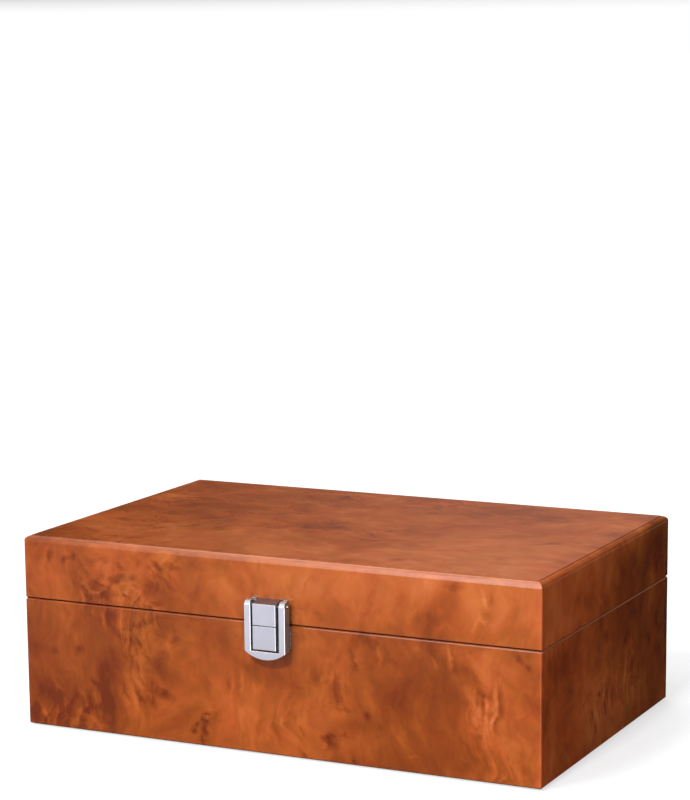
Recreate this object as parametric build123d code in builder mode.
from build123d import *
import os

# Chess box with a hinged lid. Millimetres, +Z up, X along the length, front at -Y.
# The origin is the middle of the underside, on the surface that the box stands on.

# ---- box, outside faces of the veneered wood ----
box_length = 280.0
box_depth = 179.0
base_height = 65.3
lid_height = 32.2
seam_gap = 0.2            # between the rim of the base and the rim of the closed lid
wall_thickness = 9.0
bottom_thickness = 5.0
top_thickness = 6.0
top_field_rise = 0.3      # flat field of the lid above the end of its rounded edge
top_roundover = 3.2
corner_radius = 1.0       # vertical corners
seam_chamfer = 0.7        # outer edge of both rims
bottom_easing = 0.5       # outer edge of the base's underside
mitre_overrun = 1.0       # how far a mitre cut runs past the wall on both sides

# ---- soft linings ----
baize_thickness = 1.0     # sheet glued under the base
baize_inset = 4.0
liner_thickness = 1.5     # covered card on the inner walls
liner_drop = 1.2          # rim to the liner's edge
floor_liner_thickness = 2.0
pad_thickness = 3.0       # padded sheet under the lid's top
divider_thickness = 8.0
divider_drop = 5.0        # rim of the base to the top of the divider

# ---- butt hinges with a 95 degree stop ----
hinge_inset = 41.0        # end of the box to the hinge's leaves
hinge_length = 38.0
hinge_leaf_width = 7.0
hinge_leaf_thickness = 1.2
hinge_barrel_radius = 2.0
hinge_stand_off = 3.0     # back face to the pin's axis
hinge_pin_radius = 1.0
hinge_pin_running_gap = 0.05
hinge_knuckle_gap = 0.3
hinge_pin_projection = 0.4
hinge_pin_easing = 0.25
stop_angle = 95.0
stop_flange_thickness = 0.8
stop_flange_drop = 4.5
stop_heel_length = 2.0
stop_gap = 0.04           # left between heel and flange at the stop
screw_head_radius = 2.0
screw_shank_radius = 1.0
screw_length = 9.0
screw_pitch = 13.0
screw_slot_width = 0.6
screw_slot_depth = 0.5

# ---- box latch ----
plate_thickness = 0.8
lid_plate_inset = 1.3     # edge of the lid's plate inside the outline of the hasp
plate_rim_gap = 0.3       # rim to the plates' edges
hasp_gap = 0.45           # plates to the back of the hasp
hasp_thickness = 5.3
hasp_width = 22.1
hasp_limb_width = 3.5
hasp_side_drop = 13.0     # seam to the end of the straight sides
hasp_tip_drop = 16.85     # seam to the lowest point of the rounded end
hasp_corner_radius = 1.2
hasp_edge_radius = 0.35
latch_axis_rise = 9.6     # seam to the pin's axis
latch_pin_radius = 0.75
latch_pin_running_gap = 0.05
latch_pin_inset = 0.3
block_proud = 0.45        # faces of the blocks in front of the hasp
block_side_gap = 1.3
block_drop = 11.8         # seam to the lower block's lower edge
block_rise = 10.8         # seam to the upper edge of the upper block's face
block_slope_rise = 1.5    # face to the back end of the upper block's sloping top
block_slope_end = 0.7     # plate to the back end of that slope
block_play = 0.8          # lower block to the cross bar of the hasp
block_edge_radius = 0.3
nail_head_radius = 1.2
nail_shank_radius = 0.6
nail_length = 7.0
nail_drop = 6.5           # seam to the keeper's nails
nail_rise = 4.5           # seam to the lid plate's nails

# ---- levels and faces that follow ----
wood_z = baize_thickness
base_rim_z = wood_z + base_height
lid_rim_z = base_rim_z + seam_gap
seam_z = base_rim_z + seam_gap / 2
lid_top_z = lid_rim_z + lid_height
panel_z = lid_top_z - top_thickness
floor_z = wood_z + bottom_thickness
lining_z = floor_z + floor_liner_thickness
pad_z = panel_z - pad_thickness
base_liner_top_z = base_rim_z - liner_drop
lid_liner_low_z = lid_rim_z + liner_drop
front_y = -box_depth / 2
back_y = box_depth / 2
side_x = box_length / 2
inner_length = box_length - 2 * wall_thickness
inner_depth = box_depth - 2 * wall_thickness
lined_length = inner_length - 2 * liner_thickness
lined_depth = inner_depth - 2 * liner_thickness
wall_liner_x = inner_length / 2 - liner_thickness / 2
wall_liner_y = inner_depth / 2 - liner_thickness / 2

hinge_x = side_x - hinge_inset - hinge_length / 2
hinge_y = back_y + hinge_stand_off
leaf_y = back_y - hinge_leaf_width / 2
knuckle_length = (hinge_length - 2 * hinge_knuckle_gap) / 3
knuckle_offset = knuckle_length + hinge_knuckle_gap
heel_face = hinge_stand_off - stop_flange_thickness - stop_gap
screw_head_depth = screw_head_radius - screw_shank_radius
screw_x = [side * hinge_x + step * screw_pitch for side in (-1, 1) for step in (-1, 0, 1)]
screw_points = [(x, leaf_y) for x in screw_x]

plate_y = front_y - plate_thickness
hasp_back_y = plate_y - hasp_gap
hasp_face_y = hasp_back_y - hasp_thickness
block_face_y = hasp_face_y - block_proud
lid_plate_width = hasp_width - 2 * lid_plate_inset
window_width = hasp_width - 2 * hasp_limb_width
block_width = window_width - 2 * block_side_gap
block_low_z = seam_z - block_drop
block_high_z = seam_z + block_rise
block_back_z = block_high_z + block_slope_rise
window_low_z = block_low_z - block_play
latch_y = (hasp_back_y + hasp_face_y) / 2
latch_z = seam_z + latch_axis_rise
limb_x = window_width / 2 + hasp_limb_width / 2
limb_end_radius = hasp_thickness / 2
nail_x = (block_width / 2 + lid_plate_width / 2) / 2
nail_head_depth = nail_head_radius - nail_shank_radius
latch_front = Plane.XZ.offset(-front_y)
latch_plates = Plane.XZ.offset(-plate_y)
latch_hasp_back = Plane.XZ.offset(-hasp_back_y)

# corners of a mitred side, past the wall on the outside and the inside
far_x = side_x + mitre_overrun
far_y = back_y + mitre_overrun
near_x = inner_length / 2 - mitre_overrun
near_y = inner_depth / 2 - mitre_overrun
front_outline = [(-far_x, -far_y), (far_x, -far_y), (near_x, -near_y), (-near_x, -near_y)]
back_outline = [(-far_x, far_y), (far_x, far_y), (near_x, near_y), (-near_x, near_y)]
left_outline = [(-far_x, -far_y), (-near_x, -near_y), (-near_x, near_y), (-far_x, far_y)]
right_outline = [(far_x, -far_y), (near_x, -near_y), (near_x, near_y), (far_x, far_y)]

# ---- fasteners, before the walls and plates that they pass through ----
with BuildPart() as base_screw_blanks:
    with BuildSketch(Plane.XY.offset(base_rim_z)):
        with Locations(screw_points):
            Circle(screw_head_radius)
    extrude(amount=-screw_head_depth, taper=45)
    with BuildSketch(Plane.XY.offset(base_rim_z)):
        with Locations(screw_points):
            Circle(screw_shank_radius)
    extrude(amount=-screw_length)

with BuildPart() as hinge_base_screws:
    add(base_screw_blanks.part)
    with BuildSketch(Plane.XY.offset(base_rim_z)):
        with Locations(screw_points):
            Rectangle(2 * screw_head_radius, screw_slot_width)
    extrude(amount=-screw_slot_depth, mode=Mode.SUBTRACT)

with BuildPart() as lid_screw_blanks:
    with BuildSketch(Plane.XY.offset(lid_rim_z)):
        with Locations(screw_points):
            Circle(screw_head_radius)
    extrude(amount=screw_head_depth, taper=45)
    with BuildSketch(Plane.XY.offset(lid_rim_z)):
        with Locations(screw_points):
            Circle(screw_shank_radius)
    extrude(amount=screw_length)

with BuildPart() as hinge_lid_screws:
    add(lid_screw_blanks.part)
    with BuildSketch(Plane.XY.offset(lid_rim_z)):
        with Locations(screw_points):
            Rectangle(2 * screw_head_radius, screw_slot_width)
    extrude(amount=screw_slot_depth, mode=Mode.SUBTRACT)

with BuildPart() as latch_keeper_nails:
    with BuildSketch(latch_plates):
        with Locations((-nail_x, seam_z - nail_drop), (nail_x, seam_z - nail_drop)):
            Circle(nail_head_radius)
    extrude(amount=-nail_head_depth, taper=45)
    with BuildSketch(latch_plates):
        with Locations((-nail_x, seam_z - nail_drop), (nail_x, seam_z - nail_drop)):
            Circle(nail_shank_radius)
    extrude(amount=-nail_length)

with BuildPart() as latch_lid_nails:
    with BuildSketch(latch_plates):
        with Locations((-nail_x, seam_z + nail_rise), (nail_x, seam_z + nail_rise)):
            Circle(nail_head_radius)
    extrude(amount=-nail_head_depth, taper=45)
    with BuildSketch(latch_plates):
        with Locations((-nail_x, seam_z + nail_rise), (nail_x, seam_z + nail_rise)):
            Circle(nail_shank_radius)
    extrude(amount=-nail_length)

# ---- base: four mitred sides cut from one frame ----
with BuildPart() as base_frame:
    with BuildSketch(Plane.XY.offset(wood_z)):
        RectangleRounded(box_length, box_depth, corner_radius)
    extrude(amount=base_height)
    chamfer(faces().sort_by(Axis.Z)[-1].edges(), seam_chamfer)
    chamfer(faces().sort_by(Axis.Z)[0].edges(), bottom_easing)
    with BuildSketch(Plane.XY.offset(wood_z)):
        Rectangle(inner_length, inner_depth)
    extrude(amount=base_height, mode=Mode.SUBTRACT)
    with BuildSketch(Plane.XY.offset(base_rim_z)):
        with Locations((-hinge_x, leaf_y), (hinge_x, leaf_y)):
            Rectangle(hinge_length, hinge_leaf_width)
    extrude(amount=-hinge_leaf_thickness, mode=Mode.SUBTRACT)
    add(base_screw_blanks.part, mode=Mode.SUBTRACT)
    add(latch_keeper_nails.part, mode=Mode.SUBTRACT)

with BuildPart() as base_front_wall:
    add(base_frame.part)
    with BuildSketch(Plane.XY.offset(wood_z)):
        with BuildLine():
            Polyline(*front_outline, close=True)
        make_face()
    extrude(amount=base_height, mode=Mode.INTERSECT)

with BuildPart() as base_back_wall:
    add(base_frame.part)
    with BuildSketch(Plane.XY.offset(wood_z)):
        with BuildLine():
            Polyline(*back_outline, close=True)
        make_face()
    extrude(amount=base_height, mode=Mode.INTERSECT)

with BuildPart() as base_left_wall:
    add(base_frame.part)
    with BuildSketch(Plane.XY.offset(wood_z)):
        with BuildLine():
            Polyline(*left_outline, close=True)
        make_face()
    extrude(amount=base_height, mode=Mode.INTERSECT)

with BuildPart() as base_right_wall:
    add(base_frame.part)
    with BuildSketch(Plane.XY.offset(wood_z)):
        with BuildLine():
            Polyline(*right_outline, close=True)
        make_face()
    extrude(amount=base_height, mode=Mode.INTERSECT)

with BuildPart() as base_bottom_panel:
    with BuildSketch(Plane.XY.offset(wood_z)):
        Rectangle(inner_length, inner_depth)
    extrude(amount=bottom_thickness)

with BuildPart() as underside_baize:
    with BuildSketch():
        Rectangle(box_length - 2 * baize_inset, box_depth - 2 * baize_inset)
    extrude(amount=baize_thickness)

# ---- base: linings and divider ----
with BuildPart() as base_floor_liner:
    with BuildSketch(Plane.XY.offset(floor_z)):
        Rectangle(inner_length, inner_depth)
    extrude(amount=floor_liner_thickness)

with BuildPart() as base_front_liner:
    with BuildSketch(Plane.XY.offset(lining_z)):
        with Locations((0, -wall_liner_y)):
            Rectangle(inner_length, liner_thickness)
    extrude(amount=base_liner_top_z - lining_z)

with BuildPart() as base_back_liner:
    with BuildSketch(Plane.XY.offset(lining_z)):
        with Locations((0, wall_liner_y)):
            Rectangle(inner_length, liner_thickness)
    extrude(amount=base_liner_top_z - lining_z)

with BuildPart() as base_left_liner:
    with BuildSketch(Plane.XY.offset(lining_z)):
        with Locations((-wall_liner_x, 0)):
            Rectangle(liner_thickness, lined_depth)
    extrude(amount=base_liner_top_z - lining_z)

with BuildPart() as base_right_liner:
    with BuildSketch(Plane.XY.offset(lining_z)):
        with Locations((wall_liner_x, 0)):
            Rectangle(liner_thickness, lined_depth)
    extrude(amount=base_liner_top_z - lining_z)

with BuildPart() as divider:
    with BuildSketch(Plane.XY.offset(lining_z)):
        Rectangle(divider_thickness, lined_depth)
    extrude(amount=base_rim_z - divider_drop - lining_z)

# ---- lid: four mitred sides and the top that covers them ----
with BuildPart() as lid_frame:
    with BuildSketch(Plane.XY.offset(lid_rim_z)):
        RectangleRounded(box_length, box_depth, corner_radius)
    extrude(amount=panel_z - lid_rim_z)
    chamfer(faces().sort_by(Axis.Z)[0].edges(), seam_chamfer)
    with BuildSketch(Plane.XY.offset(lid_rim_z)):
        Rectangle(inner_length, inner_depth)
    extrude(amount=panel_z - lid_rim_z, mode=Mode.SUBTRACT)
    with BuildSketch(Plane.XY.offset(lid_rim_z)):
        with Locations((-hinge_x, leaf_y), (hinge_x, leaf_y)):
            Rectangle(hinge_length, hinge_leaf_width)
    extrude(amount=hinge_leaf_thickness, mode=Mode.SUBTRACT)
    add(lid_screw_blanks.part, mode=Mode.SUBTRACT)
    add(latch_lid_nails.part, mode=Mode.SUBTRACT)

with BuildPart() as lid_front_wall:
    add(lid_frame.part)
    with BuildSketch(Plane.XY.offset(lid_rim_z)):
        with BuildLine():
            Polyline(*front_outline, close=True)
        make_face()
    extrude(amount=panel_z - lid_rim_z, mode=Mode.INTERSECT)

with BuildPart() as lid_back_wall:
    add(lid_frame.part)
    with BuildSketch(Plane.XY.offset(lid_rim_z)):
        with BuildLine():
            Polyline(*back_outline, close=True)
        make_face()
    extrude(amount=panel_z - lid_rim_z, mode=Mode.INTERSECT)

with BuildPart() as lid_left_wall:
    add(lid_frame.part)
    with BuildSketch(Plane.XY.offset(lid_rim_z)):
        with BuildLine():
            Polyline(*left_outline, close=True)
        make_face()
    extrude(amount=panel_z - lid_rim_z, mode=Mode.INTERSECT)

with BuildPart() as lid_right_wall:
    add(lid_frame.part)
    with BuildSketch(Plane.XY.offset(lid_rim_z)):
        with BuildLine():
            Polyline(*right_outline, close=True)
        make_face()
    extrude(amount=panel_z - lid_rim_z, mode=Mode.INTERSECT)

with BuildPart() as lid_top_panel:
    with BuildSketch(Plane.XY.offset(panel_z)):
        Rectangle(box_length, box_depth)
    extrude(amount=top_thickness - top_field_rise)
    fillet(faces().sort_by(Axis.Z)[-1].edges(), top_roundover)
    with BuildSketch(Plane.XY.offset(panel_z)):
        RectangleRounded(box_length, box_depth, corner_radius)
    extrude(amount=top_thickness, mode=Mode.INTERSECT)
    with BuildSketch(Plane.XY.offset(lid_top_z - top_field_rise)):
        Rectangle(box_length - 2 * top_roundover, box_depth - 2 * top_roundover)
    extrude(amount=top_field_rise)

with BuildPart() as lid_pad:
    with BuildSketch(Plane.XY.offset(pad_z)):
        Rectangle(inner_length, inner_depth)
    extrude(amount=pad_thickness)

with BuildPart() as lid_front_liner:
    with BuildSketch(Plane.XY.offset(lid_liner_low_z)):
        with Locations((0, -wall_liner_y)):
            Rectangle(inner_length, liner_thickness)
    extrude(amount=pad_z - lid_liner_low_z)

with BuildPart() as lid_back_liner:
    with BuildSketch(Plane.XY.offset(lid_liner_low_z)):
        with Locations((0, wall_liner_y)):
            Rectangle(inner_length, liner_thickness)
    extrude(amount=pad_z - lid_liner_low_z)

with BuildPart() as lid_left_liner:
    with BuildSketch(Plane.XY.offset(lid_liner_low_z)):
        with Locations((-wall_liner_x, 0)):
            Rectangle(liner_thickness, lined_depth)
    extrude(amount=pad_z - lid_liner_low_z)

with BuildPart() as lid_right_liner:
    with BuildSketch(Plane.XY.offset(lid_liner_low_z)):
        with Locations((wall_liner_x, 0)):
            Rectangle(liner_thickness, lined_depth)
    extrude(amount=pad_z - lid_liner_low_z)

# ---- hinges: the right one is built, the left one is its mirror image ----
outer_knuckle_planes = [Plane.YZ.offset(hinge_x + side * knuckle_offset) for side in (-1, 1)]
centre_knuckle_plane = Plane.YZ.offset(hinge_x)
barrel_plane = Plane.YZ.offset(hinge_x)

with BuildPart() as right_hinge_base_leaf:
    with BuildSketch(Plane.XY.offset(base_rim_z)):
        with Locations((hinge_x, leaf_y)):
            Rectangle(hinge_length, hinge_leaf_width)
    extrude(amount=-hinge_leaf_thickness)
    with BuildSketch(*outer_knuckle_planes):
        with Locations((hinge_y, seam_z)):
            Circle(hinge_barrel_radius)
        with Locations((back_y, base_rim_z)):
            Rectangle(hinge_stand_off, hinge_leaf_thickness, align=(Align.MIN, Align.MAX))
    extrude(amount=knuckle_length / 2, both=True)
    with BuildSketch(centre_knuckle_plane):
        with Locations((back_y, base_rim_z)):
            Rectangle(stop_flange_thickness, stop_flange_drop, align=(Align.MIN, Align.MAX))
    extrude(amount=knuckle_length / 2, both=True)
    with BuildSketch(barrel_plane):
        with Locations((hinge_y, seam_z)):
            Circle(hinge_pin_radius)
    extrude(amount=hinge_length, both=True, mode=Mode.SUBTRACT)
    add(base_screw_blanks.part, mode=Mode.SUBTRACT)

with BuildPart() as left_hinge_base_leaf:
    mirror(right_hinge_base_leaf.part, about=Plane.YZ)

with BuildPart() as right_hinge_lid_leaf:
    with BuildSketch(Plane.XY.offset(lid_rim_z)):
        with Locations((hinge_x, leaf_y)):
            Rectangle(hinge_length, hinge_leaf_width)
    extrude(amount=hinge_leaf_thickness)
    with BuildSketch(centre_knuckle_plane):
        with Locations((hinge_y, seam_z)):
            Circle(hinge_barrel_radius)
            Rectangle(heel_face, stop_heel_length, rotation=stop_angle, align=(Align.MAX, Align.MAX))
        with Locations((back_y, lid_rim_z)):
            Rectangle(hinge_stand_off, hinge_leaf_thickness, align=(Align.MIN, Align.MIN))
    extrude(amount=knuckle_length / 2, both=True)
    with BuildSketch(barrel_plane):
        with Locations((hinge_y, seam_z)):
            Circle(hinge_pin_radius + hinge_pin_running_gap)
    extrude(amount=hinge_length, both=True, mode=Mode.SUBTRACT)
    add(lid_screw_blanks.part, mode=Mode.SUBTRACT)

with BuildPart() as left_hinge_lid_leaf:
    mirror(right_hinge_lid_leaf.part, about=Plane.YZ)

with BuildPart() as right_hinge_pin:
    with BuildSketch(barrel_plane):
        with Locations((hinge_y, seam_z)):
            Circle(hinge_pin_radius)
    extrude(amount=hinge_length / 2 + hinge_pin_projection, both=True)
    fillet(edges().filter_by(GeomType.CIRCLE), hinge_pin_easing)

with BuildPart() as left_hinge_pin:
    mirror(right_hinge_pin.part, about=Plane.YZ)

# ---- latch on the lid: plate and upper block, which the hasp's pin passes through ----
with BuildPart() as latch_lid_plate:
    with BuildSketch(latch_plates):
        with Locations((0, lid_rim_z + plate_rim_gap)):
            Rectangle(
                lid_plate_width,
                block_back_z - lid_rim_z - plate_rim_gap,
                align=(Align.CENTER, Align.MIN),
            )
    extrude(amount=-plate_thickness)
    with BuildSketch(Plane.YZ):
        with BuildLine():
            Polyline(
                (plate_y, lid_rim_z),
                (block_face_y, lid_rim_z),
                (block_face_y, block_high_z),
                (plate_y - block_slope_end, block_back_z),
                (plate_y, block_back_z),
                close=True,
            )
        make_face()
    extrude(amount=block_width / 2, both=True)
    fillet(faces().sort_by(Axis.Y)[0].edges(), block_edge_radius)
    with BuildSketch(Plane.YZ):
        with Locations((latch_y, latch_z)):
            Circle(latch_pin_radius)
    extrude(amount=hasp_width, both=True, mode=Mode.SUBTRACT)
    add(latch_lid_nails.part, mode=Mode.SUBTRACT)

# ---- latch on the base: keeper plate and lower block ----
with BuildPart() as latch_keeper:
    with BuildSketch(latch_plates):
        with Locations((0, base_rim_z - plate_rim_gap)):
            Rectangle(
                hasp_width,
                base_rim_z - plate_rim_gap - block_low_z,
                align=(Align.CENTER, Align.MAX),
            )
    extrude(amount=-plate_thickness)
    with BuildSketch(latch_plates):
        with Locations((0, base_rim_z)):
            Rectangle(block_width, base_rim_z - block_low_z, align=(Align.CENTER, Align.MAX))
    extrude(amount=plate_y - block_face_y)
    fillet(faces().sort_by(Axis.Y)[0].edges(), block_edge_radius)
    add(latch_keeper_nails.part, mode=Mode.SUBTRACT)

# ---- latch hasp: open frame that swings on the pin and closes round both blocks ----
with BuildPart() as latch_hasp:
    with BuildSketch(latch_hasp_back):
        with BuildLine():
            side_low_z = seam_z - hasp_side_drop
            Polyline(
                (-hasp_width / 2, side_low_z),
                (-hasp_width / 2, latch_z),
                (hasp_width / 2, latch_z),
                (hasp_width / 2, side_low_z),
            )
            ThreePointArc(
                (hasp_width / 2, side_low_z), (0, seam_z - hasp_tip_drop), (-hasp_width / 2, side_low_z)
            )
        make_face()
        fillet(vertices().group_by(Axis.Y)[0], hasp_corner_radius)
        with Locations((0, window_low_z)):
            Rectangle(
                window_width,
                latch_z - window_low_z,
                align=(Align.CENTER, Align.MIN),
                mode=Mode.SUBTRACT,
            )
    extrude(amount=hasp_thickness)
    with BuildSketch(Plane.YZ.offset(limb_x), Plane.YZ.offset(-limb_x)):
        with Locations((latch_y, latch_z)):
            Circle(limb_end_radius)
    extrude(amount=hasp_limb_width / 2, both=True)
    front_edges = faces().sort_by(Axis.Y)[0].edges()
    fillet(front_edges.filter_by_position(Axis.Z, 0, latch_z - hasp_edge_radius), hasp_edge_radius)
    with BuildSketch(Plane.YZ):
        with Locations((latch_y, latch_z)):
            Circle(latch_pin_radius + latch_pin_running_gap)
    extrude(amount=hasp_width, both=True, mode=Mode.SUBTRACT)

with BuildPart() as latch_pin:
    with BuildSketch(Plane.YZ):
        with Locations((latch_y, latch_z)):
            Circle(latch_pin_radius)
    extrude(amount=hasp_width / 2 - latch_pin_inset, both=True)

# ---- STEP files ----
nodes = {
    "base_front_wall": base_front_wall,
    "base_back_wall": base_back_wall,
    "base_left_wall": base_left_wall,
    "base_right_wall": base_right_wall,
    "base_bottom_panel": base_bottom_panel,
    "underside_baize": underside_baize,
    "base_floor_liner": base_floor_liner,
    "base_front_liner": base_front_liner,
    "base_back_liner": base_back_liner,
    "base_left_liner": base_left_liner,
    "base_right_liner": base_right_liner,
    "divider": divider,
    "lid_front_wall": lid_front_wall,
    "lid_back_wall": lid_back_wall,
    "lid_left_wall": lid_left_wall,
    "lid_right_wall": lid_right_wall,
    "lid_top_panel": lid_top_panel,
    "lid_pad": lid_pad,
    "lid_front_liner": lid_front_liner,
    "lid_back_liner": lid_back_liner,
    "lid_left_liner": lid_left_liner,
    "lid_right_liner": lid_right_liner,
    "left_hinge_base_leaf": left_hinge_base_leaf,
    "right_hinge_base_leaf": right_hinge_base_leaf,
    "left_hinge_lid_leaf": left_hinge_lid_leaf,
    "right_hinge_lid_leaf": right_hinge_lid_leaf,
    "left_hinge_pin": left_hinge_pin,
    "right_hinge_pin": right_hinge_pin,
    "hinge_base_screws": hinge_base_screws,
    "hinge_lid_screws": hinge_lid_screws,
    "latch_lid_plate": latch_lid_plate,
    "latch_keeper": latch_keeper,
    "latch_hasp": latch_hasp,
    "latch_pin": latch_pin,
    "latch_lid_nails": latch_lid_nails,
    "latch_keeper_nails": latch_keeper_nails,
}
os.makedirs("parts", exist_ok=True)
for name, node in nodes.items():
    node.part.label = name
    export_step(node.part, f"parts/{name}.step")
